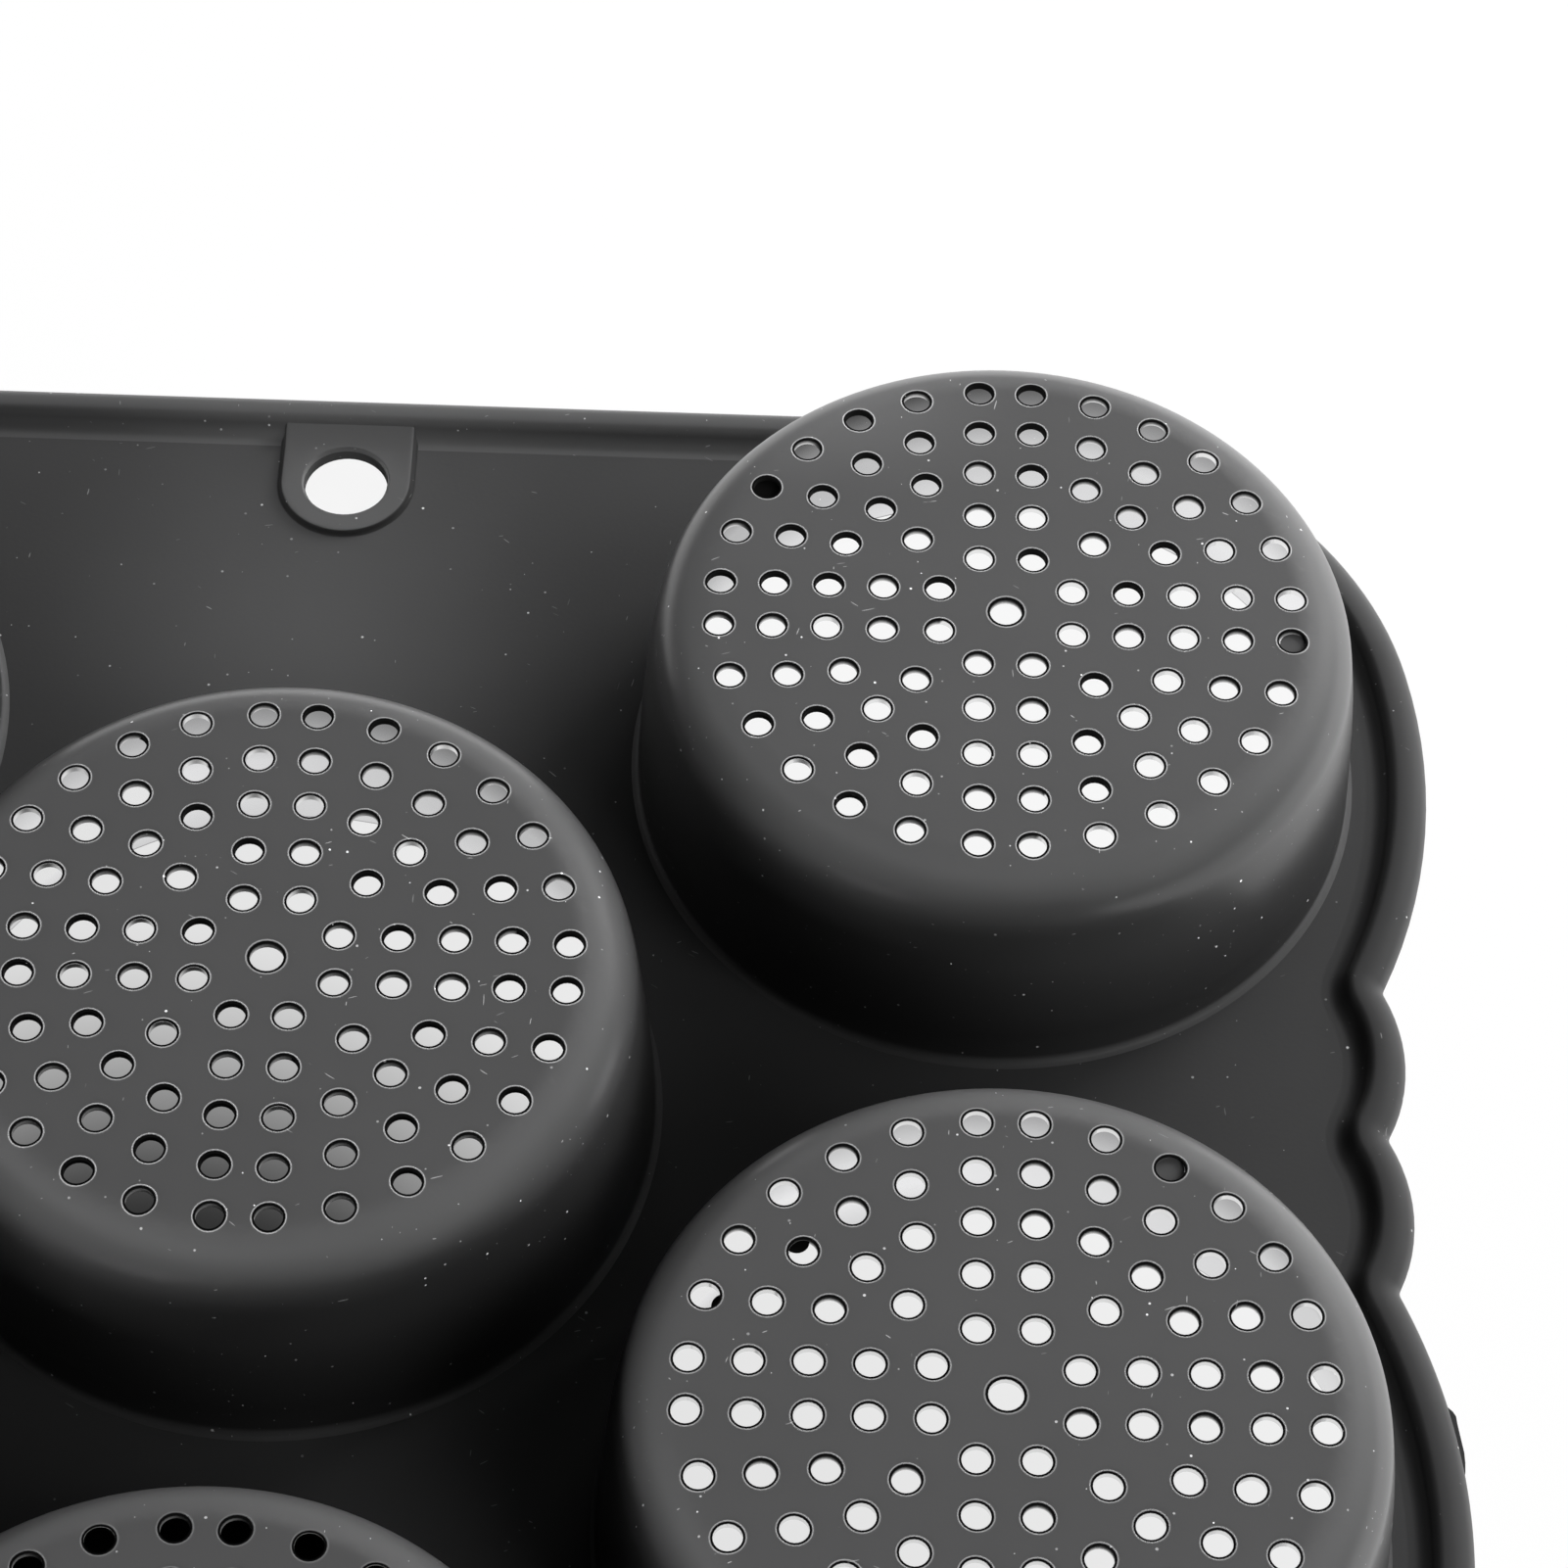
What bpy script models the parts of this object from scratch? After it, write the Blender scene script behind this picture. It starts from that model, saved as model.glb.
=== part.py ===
"""Perforated silicone baking mould for eight hamburger buns, lying upside down on its rim.

The mould is one soft moulding with no moving parts. It is divided here where its form
changes: the flat web, the rim, the hanging tab, and the wall and floor of each cup.
Metres, +Z up. The origin is the middle of the plane that the rim lies on.
"""

import math

import bmesh
import bpy
from mathutils import Vector

# Cups, outside sizes
CUP_HEIGHT = 0.0376  # from the web to the cup's floor
CUP_FOOT_RADIUS = 0.0532  # where the wall leaves the web
WALL_DRAFT = math.radians(6.4)
WALL_THICKNESS = 0.0015
FLOOR_THICKNESS = 0.0011
EDGE_RADIUS = 0.005  # round edge between wall and floor
FOOT_FLARE = 0.0009  # small slope that leads the wall into the web

# Places of the cups: three columns, the middle one moved by half a pitch
COLUMN_GAP = 0.022  # web between two cups of a column
STAGGER_GAP = 0.0133  # web between a cup and its neighbour in the next column

# Perforation of a cup's floor: rings of holes, in pairs astride the two centre lines
HOLE_RADIUS = 0.0021
CENTRE_HOLE_RADIUS = 0.0025
FIRST_RING_RADIUS = 0.01036
RING_PITCH = 0.00777  # also the spacing of a pair
RING_SPACING = 0.009  # spacing aimed at along a ring, between the pairs
HOLE_LAND = 0.0004  # least floor left outside the last ring

# Web and rim
WEB_THICKNESS = 0.0017
RIM_WIDTH = 0.0079
RIM_FLANK = 0.0028  # width of the slope on the rim's inner side
RIM_RISE = 0.0028  # height of the rim's crest over the web
RIM_UNDERCUT = 0.0004  # how far the rim's lower edge draws in
SIDE_STRIP = 0.0032  # web between the rim and the cups along the two scalloped sides
END_STRIP = 0.0052  # web between the rim and the cups along the two straight ends

# Scalloped outline: a wide lobe round each side cup, two small lobes between them
SIDE_LOBE_RADIUS = 0.0951
SMALL_LOBE_RADIUS = 0.0278
SMALL_LOBE_DROP = 0.0055  # how far the small lobes stay inside the wide ones
SMALL_LOBE_SPACING = 0.0259
NOTCH_RADIUS = 0.002
CORNER_RADIUS = 0.060

# Hanging tab in the middle of one straight end
TAB_WIDTH = 0.0209
TAB_RISE = 0.0008  # over the web
TAB_HOLE_RADIUS = 0.0067
TAB_REACH = 0.0087  # from the rim to the hole's centre

# The moulding's neighbouring regions stay this far apart
GAP = 0.0003

# Grey level and roughness of each region's silicone
WEB_FINISH = (0.035, 0.6)
RIM_FINISH = (0.04, 0.55)
TAB_FINISH = (0.04, 0.6)
WALL_FINISH = (0.03, 0.6)
FLOOR_FINISH = (0.045, 0.5)

# Facets
CUP_SIDES = 20
HOLE_SIDES = 5
TAB_HOLE_SIDES = 16
EDGE_STEPS = 2
LOBE_STEPS = 3
NOTCH_STEPS = 2
CORNER_STEPS = 6
RIM_STEPS = 3
SMOOTH_ANGLE = math.radians(40)
WELD_DISTANCE = 1e-6

# Sizes that follow from the ones above
FLOOR_LEVEL = WEB_THICKNESS + CUP_HEIGHT
CUP_PITCH = 2 * CUP_FOOT_RADIUS + COLUMN_GAP
COLUMN_PITCH = math.sqrt((2 * CUP_FOOT_RADIUS + STAGGER_GAP) ** 2 - (CUP_PITCH / 2) ** 2)
SEAT_RADIUS = CUP_FOOT_RADIUS + FOOT_FLARE  # the cup's foot, in the web
EDGE_CENTRE_RADIUS = (
    CUP_FOOT_RADIUS
    - CUP_HEIGHT * math.tan(WALL_DRAFT)
    - EDGE_RADIUS * (1 - math.sin(WALL_DRAFT)) / math.cos(WALL_DRAFT)
)
EDGE_CENTRE_LEVEL = FLOOR_LEVEL - EDGE_RADIUS
SIDE_REACH = COLUMN_PITCH + SEAT_RADIUS + SIDE_STRIP + RIM_WIDTH
END_REACH = CUP_PITCH + SEAT_RADIUS + END_STRIP + RIM_WIDTH
TAB_HOLE_Y = END_REACH - RIM_WIDTH - TAB_REACH

# Each cup's name, with its column and its place along the column, in pitches
CUPS = (
    ("left_front", -1, -1),
    ("left_centre", -1, 0),
    ("left_back", -1, 1),
    ("middle_front", 0, -0.5),
    ("middle_back", 0, 0.5),
    ("right_front", 1, -1),
    ("right_centre", 1, 0),
    ("right_back", 1, 1),
)


def clear_scene():
    for thing in list(bpy.data.objects):
        bpy.data.objects.remove(thing, do_unlink=True)


def silicone(name, finish):
    grey, roughness = finish
    material = bpy.data.materials.new(name)
    material.use_nodes = True
    shader = material.node_tree.nodes["Principled BSDF"]
    shader.inputs["Base Color"].default_value = (grey, grey, grey, 1)
    shader.inputs["Roughness"].default_value = roughness
    shader.inputs["Metallic"].default_value = 0
    return material


def arc(centre, radius, start, end, steps):
    """Points along an arc, with both its ends."""
    points = []
    for step in range(steps + 1):
        angle = start + (end - start) * step / steps
        points.append(Vector((centre.x + radius * math.cos(angle), centre.y + radius * math.sin(angle))))
    return points


def circle(centre, radius, sides, start=0.0):
    return arc(centre, radius, start, start + math.tau, sides)[:-1]


def hole(centre, radius, sides, start=0.0):
    """A polygon of the same area as a round hole."""
    share = sides * math.sin(math.tau / sides) / math.tau
    return circle(centre, radius / math.sqrt(share), sides, start)


def heading(vector):
    return math.atan2(vector.y, vector.x)


def outer_meeting(lower, lower_distance, upper, upper_distance):
    """The point on the +X side at these distances from two centres, one above the other."""
    between = upper - lower
    along = (between.length_squared + lower_distance**2 - upper_distance**2) / (2 * between.length)
    across = math.sqrt(lower_distance**2 - along**2)
    up = between.normalized()
    return lower + up * along + Vector((up.y, -up.x)) * across


def edge_quarter(inset):
    """The outline in the quarter +X +Y, drawn in by inset, from the side's middle to the end's straight."""
    side_x = SIDE_REACH - SIDE_LOBE_RADIUS
    small_x = SIDE_REACH - SMALL_LOBE_DROP - SMALL_LOBE_RADIUS
    half_spacing = SMALL_LOBE_SPACING / 2
    lobes = (
        (Vector((side_x, 0)), SIDE_LOBE_RADIUS),
        (Vector((small_x, CUP_PITCH / 2 - half_spacing)), SMALL_LOBE_RADIUS),
        (Vector((small_x, CUP_PITCH / 2 + half_spacing)), SMALL_LOBE_RADIUS),
        (Vector((side_x, CUP_PITCH)), SIDE_LOBE_RADIUS),
    )
    notches = [
        outer_meeting(lower, lower_radius + NOTCH_RADIUS, upper, upper_radius + NOTCH_RADIUS)
        for (lower, lower_radius), (upper, upper_radius) in zip(lobes, lobes[1:])
    ]
    corner_y = END_REACH - CORNER_RADIUS
    last_lobe = lobes[-1][0]
    corner_rise = corner_y - last_lobe.y
    corner_run = math.sqrt((SIDE_LOBE_RADIUS - CORNER_RADIUS) ** 2 - corner_rise**2)
    corner = last_lobe + Vector((corner_run, corner_rise))

    points = []
    start = 0.0
    for index, (centre, radius) in enumerate(lobes):
        following = notches[index] if index < len(notches) else corner
        end = heading(following - centre)
        points += arc(centre, radius - inset, start, end, LOBE_STEPS)
        if index < len(notches):
            start = heading(following - lobes[index + 1][0])
            notch = arc(following, NOTCH_RADIUS + inset, end + math.pi, start + math.pi, NOTCH_STEPS)
            points += notch[1:-1]
        else:
            points += arc(corner, CORNER_RADIUS - inset, end, math.pi / 2, CORNER_STEPS)[1:]
    return points


def edge_outline(inset, end_detour=()):
    """The mould's whole outline, drawn in by inset, with points put into the straight at +Y."""
    quarter = edge_quarter(inset)
    right_top = list(quarter)
    left_top = [Vector((-p.x, p.y)) for p in reversed(quarter)]
    left_bottom = [Vector((-p.x, -p.y)) for p in quarter[1:]]
    right_bottom = [Vector((p.x, -p.y)) for p in reversed(quarter[1:])]
    return right_top + list(end_detour) + left_top + left_bottom + right_bottom


def tab_outline(grow):
    """The tab's U, from its right end at the rim, round the hole and back to the rim."""
    radius = TAB_WIDTH / 2 + grow
    end_y = END_REACH - RIM_WIDTH - GAP
    bend = arc(Vector((0, TAB_HOLE_Y)), radius, 0, -math.pi, TAB_HOLE_SIDES // 2)
    return [Vector((radius, end_y))] + bend + [Vector((-radius, end_y))]


def floor_holes():
    """The holes of one cup's floor, round its centre."""
    middle = Vector((0, 0))
    holes = [hole(middle, CENTRE_HOLE_RADIUS, HOLE_SIDES)]
    reach = EDGE_CENTRE_RADIUS * math.cos(math.pi / CUP_SIDES) - HOLE_LAND - HOLE_RADIUS
    ring_radius = FIRST_RING_RADIUS
    while ring_radius <= reach:
        pair_angle = math.asin(RING_PITCH / 2 / ring_radius)
        free_angle = math.pi / 2 - 2 * pair_angle
        spaces = max(1, round(free_angle * ring_radius / RING_SPACING))
        for quarter in range(4):
            for place in range(spaces + 1):
                angle = quarter * math.pi / 2 + pair_angle + free_angle * place / spaces
                centre = Vector((ring_radius * math.cos(angle), ring_radius * math.sin(angle)))
                holes.append(hole(centre, HOLE_RADIUS, HOLE_SIDES, angle + math.pi))
        ring_radius += RING_PITCH
    return holes


def plate_mesh(name, outlines, thickness):
    """A flat plate on z = 0 to thickness: the first outline is its edge, the others are holes."""
    drawing = bpy.data.curves.new(name, "CURVE")
    drawing.dimensions = "2D"
    drawing.fill_mode = "BOTH"
    drawing.extrude = thickness / 2
    for outline in outlines:
        spline = drawing.splines.new("POLY")
        spline.points.add(len(outline) - 1)
        for point, place in zip(spline.points, outline):
            point.co = (place.x, place.y, 0, 1)
        spline.use_cyclic_u = True
    helper = bpy.data.objects.new(name, drawing)
    bpy.context.scene.collection.objects.link(helper)
    graph = bpy.context.evaluated_depsgraph_get()
    mesh = bpy.data.meshes.new_from_object(helper.evaluated_get(graph))
    bpy.data.objects.remove(helper, do_unlink=True)
    shape = bmesh.new()
    shape.from_mesh(mesh)
    bmesh.ops.remove_doubles(shape, verts=shape.verts, dist=WELD_DISTANCE)
    bmesh.ops.translate(shape, verts=shape.verts, vec=(0, 0, thickness / 2))
    bmesh.ops.recalc_face_normals(shape, faces=shape.faces)
    shape.to_mesh(mesh)
    shape.free()
    return mesh


def turned_mesh(name, profile, sides):
    """A ring turned round the Z axis from a closed profile of (radius, level)."""
    outline = bpy.data.meshes.new(name)
    corners = [(radius, 0, level) for radius, level in profile]
    edges = [(i, (i + 1) % len(corners)) for i in range(len(corners))]
    outline.from_pydata(corners, edges, [])
    helper = bpy.data.objects.new(name, outline)
    bpy.context.scene.collection.objects.link(helper)
    screw = helper.modifiers.new("turn", "SCREW")
    screw.axis = "Z"
    screw.steps = sides
    screw.render_steps = sides
    screw.use_merge_vertices = True
    screw.merge_threshold = WELD_DISTANCE
    graph = bpy.context.evaluated_depsgraph_get()
    mesh = bpy.data.meshes.new_from_object(helper.evaluated_get(graph))
    bpy.data.objects.remove(helper, do_unlink=True)
    return mesh


def ring_mesh(name, section):
    """A ring along the mould's outline, lofted through the (inset, level) corners of its section."""
    shape = bmesh.new()
    rows = []
    for inset, level in section:
        rows.append([shape.verts.new((p.x, p.y, level)) for p in edge_outline(inset)])
    count = len(rows[0])
    for row, following in zip(rows, rows[1:] + rows[:1]):
        for i in range(count):
            j = (i + 1) % count
            shape.faces.new((row[i], row[j], following[j], following[i]))
    bmesh.ops.recalc_face_normals(shape, faces=shape.faces)
    mesh = bpy.data.meshes.new(name)
    shape.to_mesh(mesh)
    shape.free()
    return mesh


def wall_profile():
    """Section of a cup's wall: down its outer side, through the web, and up its inner side."""

    def outer_radius(level):
        return CUP_FOOT_RADIUS - (level - WEB_THICKNESS) * math.tan(WALL_DRAFT)

    edge_centre = Vector((EDGE_CENTRE_RADIUS, EDGE_CENTRE_LEVEL))
    round_edge = arc(edge_centre, EDGE_RADIUS, math.acos(GAP / EDGE_RADIUS), WALL_DRAFT, EDGE_STEPS)
    flare_level = WEB_THICKNESS + FOOT_FLARE
    return [(p.x, p.y) for p in round_edge] + [
        (outer_radius(flare_level), flare_level),
        (SEAT_RADIUS, WEB_THICKNESS),
        (SEAT_RADIUS, 0),
        (outer_radius(0) - WALL_THICKNESS, 0),
        (outer_radius(EDGE_CENTRE_LEVEL) - WALL_THICKNESS, EDGE_CENTRE_LEVEL),
        (EDGE_CENTRE_RADIUS + GAP, FLOOR_LEVEL - FLOOR_THICKNESS),
    ]


def rim_section():
    """Section of the rim, as (inset from the outline, level)."""
    crest_inset = RIM_WIDTH - RIM_FLANK
    crown = []
    for step in range(RIM_STEPS + 1):
        angle = math.pi / 2 * step / RIM_STEPS
        inset = crest_inset * (1 - math.sin(angle))
        crown.append((inset, WEB_THICKNESS + RIM_RISE * math.cos(angle)))
    return [(RIM_WIDTH, 0), (RIM_WIDTH, WEB_THICKNESS)] + crown + [(RIM_UNDERCUT, 0)]


def add_part(name, mesh, material, collection, parent, location=(0, 0, 0)):
    part = bpy.data.objects.new(name, mesh)
    part.location = location
    part.parent = parent
    if not mesh.materials:
        mesh.materials.append(material)
    mesh.shade_smooth()
    mesh.set_sharp_from_angle(angle=SMOOTH_ANGLE)
    collection.objects.link(part)
    return part


def add_frame(name, collection, parent=None, location=(0, 0, 0)):
    """An empty that carries parts."""
    frame = bpy.data.objects.new(name, None)
    frame.empty_display_size = CUP_HEIGHT
    frame.location = location
    frame.parent = parent
    collection.objects.link(frame)
    return frame


def add_web(collection, parent, centres):
    edge = edge_outline(RIM_WIDTH + GAP, tab_outline(GAP))
    seats = [circle(centre, SEAT_RADIUS + GAP, CUP_SIDES) for centre in centres]
    mesh = plate_mesh("web_sheet", [edge] + seats, WEB_THICKNESS)
    add_part("web_sheet", mesh, silicone("web_silicone", WEB_FINISH), collection, parent)


def add_rim(collection, parent):
    mesh = ring_mesh("rim_bead", rim_section())
    add_part("rim_bead", mesh, silicone("rim_silicone", RIM_FINISH), collection, parent)


def add_tab(collection, parent):
    eye = circle(Vector((0, TAB_HOLE_Y)), TAB_HOLE_RADIUS, TAB_HOLE_SIDES)
    mesh = plate_mesh("hanging_tab", [tab_outline(0), eye], WEB_THICKNESS + TAB_RISE)
    add_part("hanging_tab", mesh, silicone("tab_silicone", TAB_FINISH), collection, parent)


def add_cups(collection, parent, centres):
    wall = turned_mesh("cup_wall", wall_profile(), CUP_SIDES)
    disc = circle(Vector((0, 0)), EDGE_CENTRE_RADIUS, CUP_SIDES)
    floor = plate_mesh("cup_floor", [disc] + floor_holes(), FLOOR_THICKNESS)
    wall_silicone = silicone("wall_silicone", WALL_FINISH)
    floor_silicone = silicone("floor_silicone", FLOOR_FINISH)
    for (name, _, _), centre in zip(CUPS, centres):
        cup = add_frame("cup_" + name, collection, parent, (centre.x, centre.y, 0))
        add_part("cup_wall_" + name, wall, wall_silicone, collection, cup)
        level = FLOOR_LEVEL - FLOOR_THICKNESS
        add_part("cup_floor_" + name, floor, floor_silicone, collection, cup, (0, 0, level))


def main():
    clear_scene()
    collection = bpy.data.collections.new("bun_mould")
    bpy.context.scene.collection.children.link(collection)
    mould = add_frame("bun_mould_frame", collection)
    centres = [Vector((column * COLUMN_PITCH, row * CUP_PITCH)) for _, column, row in CUPS]
    add_web(collection, mould, centres)
    add_rim(collection, mould)
    add_tab(collection, mould)
    add_cups(collection, mould, centres)


main()
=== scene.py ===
import math
import random

import bmesh
import bpy
from mathutils import Matrix, Vector


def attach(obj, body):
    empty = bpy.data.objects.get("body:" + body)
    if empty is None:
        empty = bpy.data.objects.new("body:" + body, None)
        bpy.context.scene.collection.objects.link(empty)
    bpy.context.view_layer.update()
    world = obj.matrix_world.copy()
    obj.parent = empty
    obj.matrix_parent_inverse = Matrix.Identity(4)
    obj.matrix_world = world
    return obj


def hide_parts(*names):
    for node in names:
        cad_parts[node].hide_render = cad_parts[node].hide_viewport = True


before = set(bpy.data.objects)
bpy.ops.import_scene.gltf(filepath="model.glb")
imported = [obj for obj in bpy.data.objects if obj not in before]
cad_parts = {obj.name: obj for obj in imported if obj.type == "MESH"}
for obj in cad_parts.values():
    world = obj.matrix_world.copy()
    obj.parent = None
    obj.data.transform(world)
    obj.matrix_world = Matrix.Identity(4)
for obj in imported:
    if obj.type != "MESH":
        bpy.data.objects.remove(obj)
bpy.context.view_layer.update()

mm = 0.001  # all sizes below are in millimetres, and the meshes in metres
weld = 0.002 * mm  # points closer than this are merged
tiny = 1e-7  # metres; points this close to a plane lie in it

mould = {
    "floorLevel": 39.3,  # the cups' floors, over the table
    "webTop": 1.7,
    "columnPitch": 101.03,
    "cupPitch": 128.4,
    "sideReach": 166.23,  # middle to the side lobes' tops
    "endReach": 195.6,  # middle to the straight ends
    "sharpFrom": 35,  # degrees; edges that bend more are shaded sharp
    "slot": "silicone",
}

cupPlaces = {
    "left_front": (-1, -1),
    "left_centre": (-1, 0),
    "left_back": (-1, 1),
    "middle_front": (0, -0.5),
    "middle_back": (0, 0.5),
    "right_front": (1, -1),
    "right_centre": (1, 0),
    "right_back": (1, 1),
}


class Wire:
    # a shader socket that takes part in Python expressions
    def __init__(self, tree, socket):
        self.tree = tree
        self.socket = socket

    def make(self, kind, settings=(), sockets=(), output=0):
        node = self.tree.nodes.new(kind)
        for key, value in dict(settings).items():
            if key == "stops":
                ramp = node.color_ramp
                while len(ramp.elements) < len(value):
                    ramp.elements.new(0.5)
                for element, (place, grey) in zip(ramp.elements, value):
                    element.position = place
                    element.color = (grey, grey, grey, 1)
            else:
                setattr(node, key, value)
        for key, value in dict(sockets).items():
            if isinstance(value, Wire):
                self.tree.links.new(value.socket, node.inputs[key])
            else:
                node.inputs[key].default_value = value
        return Wire(self.tree, node.outputs[output] if node.outputs else None)

    def reckon(self, operation, first, second=0.0, clamp=False):
        settings = {"operation": operation, "use_clamp": clamp}
        return self.make("ShaderNodeMath", settings, {0: first, 1: second})

    def __add__(self, other):
        return self.reckon("ADD", self, other)

    def __radd__(self, other):
        return self.reckon("ADD", other, self)

    def __sub__(self, other):
        return self.reckon("SUBTRACT", self, other)

    def __rsub__(self, other):
        return self.reckon("SUBTRACT", other, self)

    def __mul__(self, other):
        return self.reckon("MULTIPLY", self, other)

    def __rmul__(self, other):
        return self.reckon("MULTIPLY", other, self)

    def __truediv__(self, other):
        return self.reckon("DIVIDE", self, other)

    def __lt__(self, other):
        return self.reckon("LESS_THAN", self, other)

    def ramp(self, low, high, start=0.0, end=1.0):
        # a smooth step from start to end while this value goes from low to high
        settings = {"interpolation_type": "SMOOTHSTEP"}
        sockets = {0: self, 1: low, 2: high, 3: start, 4: end}
        return self.make("ShaderNodeMapRange", settings, sockets)


def newMaterial(name):
    material = bpy.data.materials.new(name)
    material.use_nodes = True
    tree = material.node_tree
    tree.nodes.clear()
    wire = Wire(tree, None)
    place = wire.make("ShaderNodeTexCoord", output="Object")
    return material, wire, place


dust = {
    "specksPerMetre": 400,  # cells of the speck pattern along a metre
    "speckRadius": 0.085,  # largest, in cells
    "speckSizes": (0.3, 0.7),  # shares of that radius: the least one, and what a draw adds to it
    "speckGrey": 1.1,
    "hairsPerMetre": 720,  # cells across a hair's direction
    "hairShare": 0.4,  # share of the cells that hold a hair
    "hairRadius": 0.05,
    "hairStretch": 12,
    "hairGrey": 0.36,
    "hairTurns": (0.35, 1.5, 2.6),  # the hairs' directions, in radians
    "hairShift": (0.31, 0.17),  # metres between one direction's pattern and the next one's
    "hairBend": 0.004,  # metres
    "bendsPerMetre": 90,
    "leastTone": 0.2,  # share of its grey that the faintest speck or hair has
}


def cellPattern(wire, place, scale):
    # the distance from each cell's point, and two draws that hold for a whole cell
    sockets = {"Vector": place, "Scale": scale}
    distance = wire.make("ShaderNodeTexVoronoi", {}, sockets, "Distance")
    chance = wire.make("ShaderNodeTexVoronoi", {}, sockets, "Color")
    draws = [wire.make("ShaderNodeSeparateColor", {}, {0: chance}, channel) for channel in (0, 1)]
    return distance, *draws


def dustGrey(wire, place):
    # sparse pale specks, and short bent hairs in a few directions
    specks, size, tone = cellPattern(wire, place, dust["specksPerMetre"])
    least, more = dust["speckSizes"]
    radius = (least + more * size * size) * dust["speckRadius"]
    grey = (specks < radius) * (dust["leastTone"] + tone * tone) * dust["speckGrey"]
    noise = {"Vector": place, "Scale": dust["bendsPerMetre"], "Detail": 1}
    bend = wire.make("ShaderNodeTexNoise", {}, noise, "Color")
    scaled = {0: bend, "Scale": dust["hairBend"]}
    bend = wire.make("ShaderNodeVectorMath", {"operation": "SCALE"}, scaled)
    bent = wire.make("ShaderNodeVectorMath", {"operation": "ADD"}, {0: place, 1: bend})
    shiftX, shiftY = dust["hairShift"]
    for index, turn in enumerate(dust["hairTurns"]):
        turned = {
            "Vector": bent, "Location": (shiftX * index, shiftY * index, 0),
            "Rotation": (0, 0, turn), "Scale": (dust["hairStretch"], 1, 1),
        }
        line = wire.make("ShaderNodeMapping", {"vector_type": "TEXTURE"}, turned)
        hairs, parts, tone = cellPattern(wire, line, dust["hairsPerMetre"])
        hair = (hairs < dust["hairRadius"]) * (parts < dust["hairShare"])
        grey = grey + hair * (dust["leastTone"] + tone) * dust["hairGrey"]
    return grey


skin = {  # what all the silicone's looks share
    "cloudsPerMetre": 35,
    "cloudDetail": 3,
    "cloudGrey": (0.92, 0.16),  # the grey's factor without a cloud, and what a full one adds to it
    "cloudRough": 0.08,
    "grainsPerMetre": 1600,
    "grainDetail": 2,
    "grainDepth": 0.05,
    "rampTop": 40,  # level at which the looks' greys end
    "leastGrey": 0.004,
    "blue": 1.01,  # against red and green
    "dust": 0.4,  # how strongly the dust shows, unless a look says otherwise
    "shineRough": 0.15,
}


def siliconeMaterial(name, look):
    material, wire, place = newMaterial(name)
    clouds = {"Vector": place, "Scale": skin["cloudsPerMetre"], "Detail": skin["cloudDetail"]}
    grains = {"Vector": place, "Scale": skin["grainsPerMetre"], "Detail": skin["grainDetail"]}
    cloud = wire.make("ShaderNodeTexNoise", {}, clouds)
    grain = wire.make("ShaderNodeTexNoise", {}, grains)
    level = wire.make("ShaderNodeSeparateXYZ", {}, {0: place}, 2)
    stops = [(height / skin["rampTop"], grey) for height, grey in look["greys"]]
    grey = wire.make("ShaderNodeValToRGB", {"stops": stops}, {"Fac": level / (skin["rampTop"] * mm)})
    plain, cloudy = skin["cloudGrey"]
    # the mark adds painted light and shade: highlights on the hole lips, paler cup insides, a paler
    # back of the rim, a darker tab flank
    lip = wire.make("ShaderNodeAttribute", {"attribute_name": "lip"}, {}, "Fac")
    grey = grey * (plain + cloudy * cloud) + lip * look["paintedLightGrey"]
    grey = wire.reckon("MAXIMUM", grey, skin["leastGrey"], clamp=True)
    grey = grey + dustGrey(wire, place) * look.get("dust", skin["dust"])
    colour = wire.make("ShaderNodeCombineColor", {}, {0: grey, 1: grey, 2: grey * skin["blue"]})
    rough = look["roughness"] + skin["cloudRough"] * (cloud - 0.5)
    relief = {"Strength": look["grain"], "Distance": skin["grainDepth"] * mm, "Height": grain}
    bump = wire.make("ShaderNodeBump", {}, relief)
    sockets = {"Base Color": colour, "Roughness": rough, "Normal": bump, "IOR": look["ior"]}
    sockets["Metallic"] = look.get("metal", 0.0)
    if "shine" in look:
        # marked throats are made a pale metal that reflects the glowing table under the mould: a
        # painted reflection
        gloss = wire.make("ShaderNodeAttribute", {"attribute_name": "gloss"}, {}, "Fac")
        shiny = grey + gloss * look["shine"]
        sockets["Base Color"] = wire.make("ShaderNodeCombineColor", {}, {0: shiny, 1: shiny, 2: shiny})
        sockets["Metallic"] = gloss
        sockets["Roughness"] = rough - gloss * (look["roughness"] - skin["shineRough"])
    if "coat" in look:
        sockets["Coat Weight"] = look["coat"]
        sockets["Coat Roughness"] = look["coatRoughness"]
        sockets["Coat IOR"] = look["coatIor"]
    surface = wire.make("ShaderNodeBsdfPrincipled", {}, sockets)
    wire.make("ShaderNodeOutputMaterial", {}, {"Surface": surface})
    return material


def lineThrough(bm, places):
    # joined edges through the places, in metres
    verts = [bm.verts.new(place) for place in places]
    for first, second in zip(verts, verts[1:]):
        bm.edges.new((first, second))
    return verts


def roundCorner(bm, vert, reach, steps, unit="OFFSET"):
    bmesh.ops.bevel(
        bm, geom=[vert], offset=reach, offset_type=unit, segments=steps, profile=0.5,
        affect="VERTICES", material=-1, clamp_overlap=False,
    )


def section(corners):
    # a line in the XZ plane through (radius, level) corners, each rounded by its reach in steps
    bm = bmesh.new()
    verts = lineThrough(bm, [(corner[0] * mm, 0, corner[1] * mm) for corner in corners])
    for vert, corner in zip(verts, corners):
        if len(corner) > 2:
            roundCorner(bm, vert, corner[2] * mm, corner[3])
    return bm


def spinRound(bm, steps):
    bmesh.ops.spin(
        bm, geom=bm.verts[:] + bm.edges[:], cent=(0, 0, 0), axis=(0, 0, 1), dvec=(0, 0, 0),
        angle=math.tau, steps=steps, use_merge=True, use_duplicate=False,
    )


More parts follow.
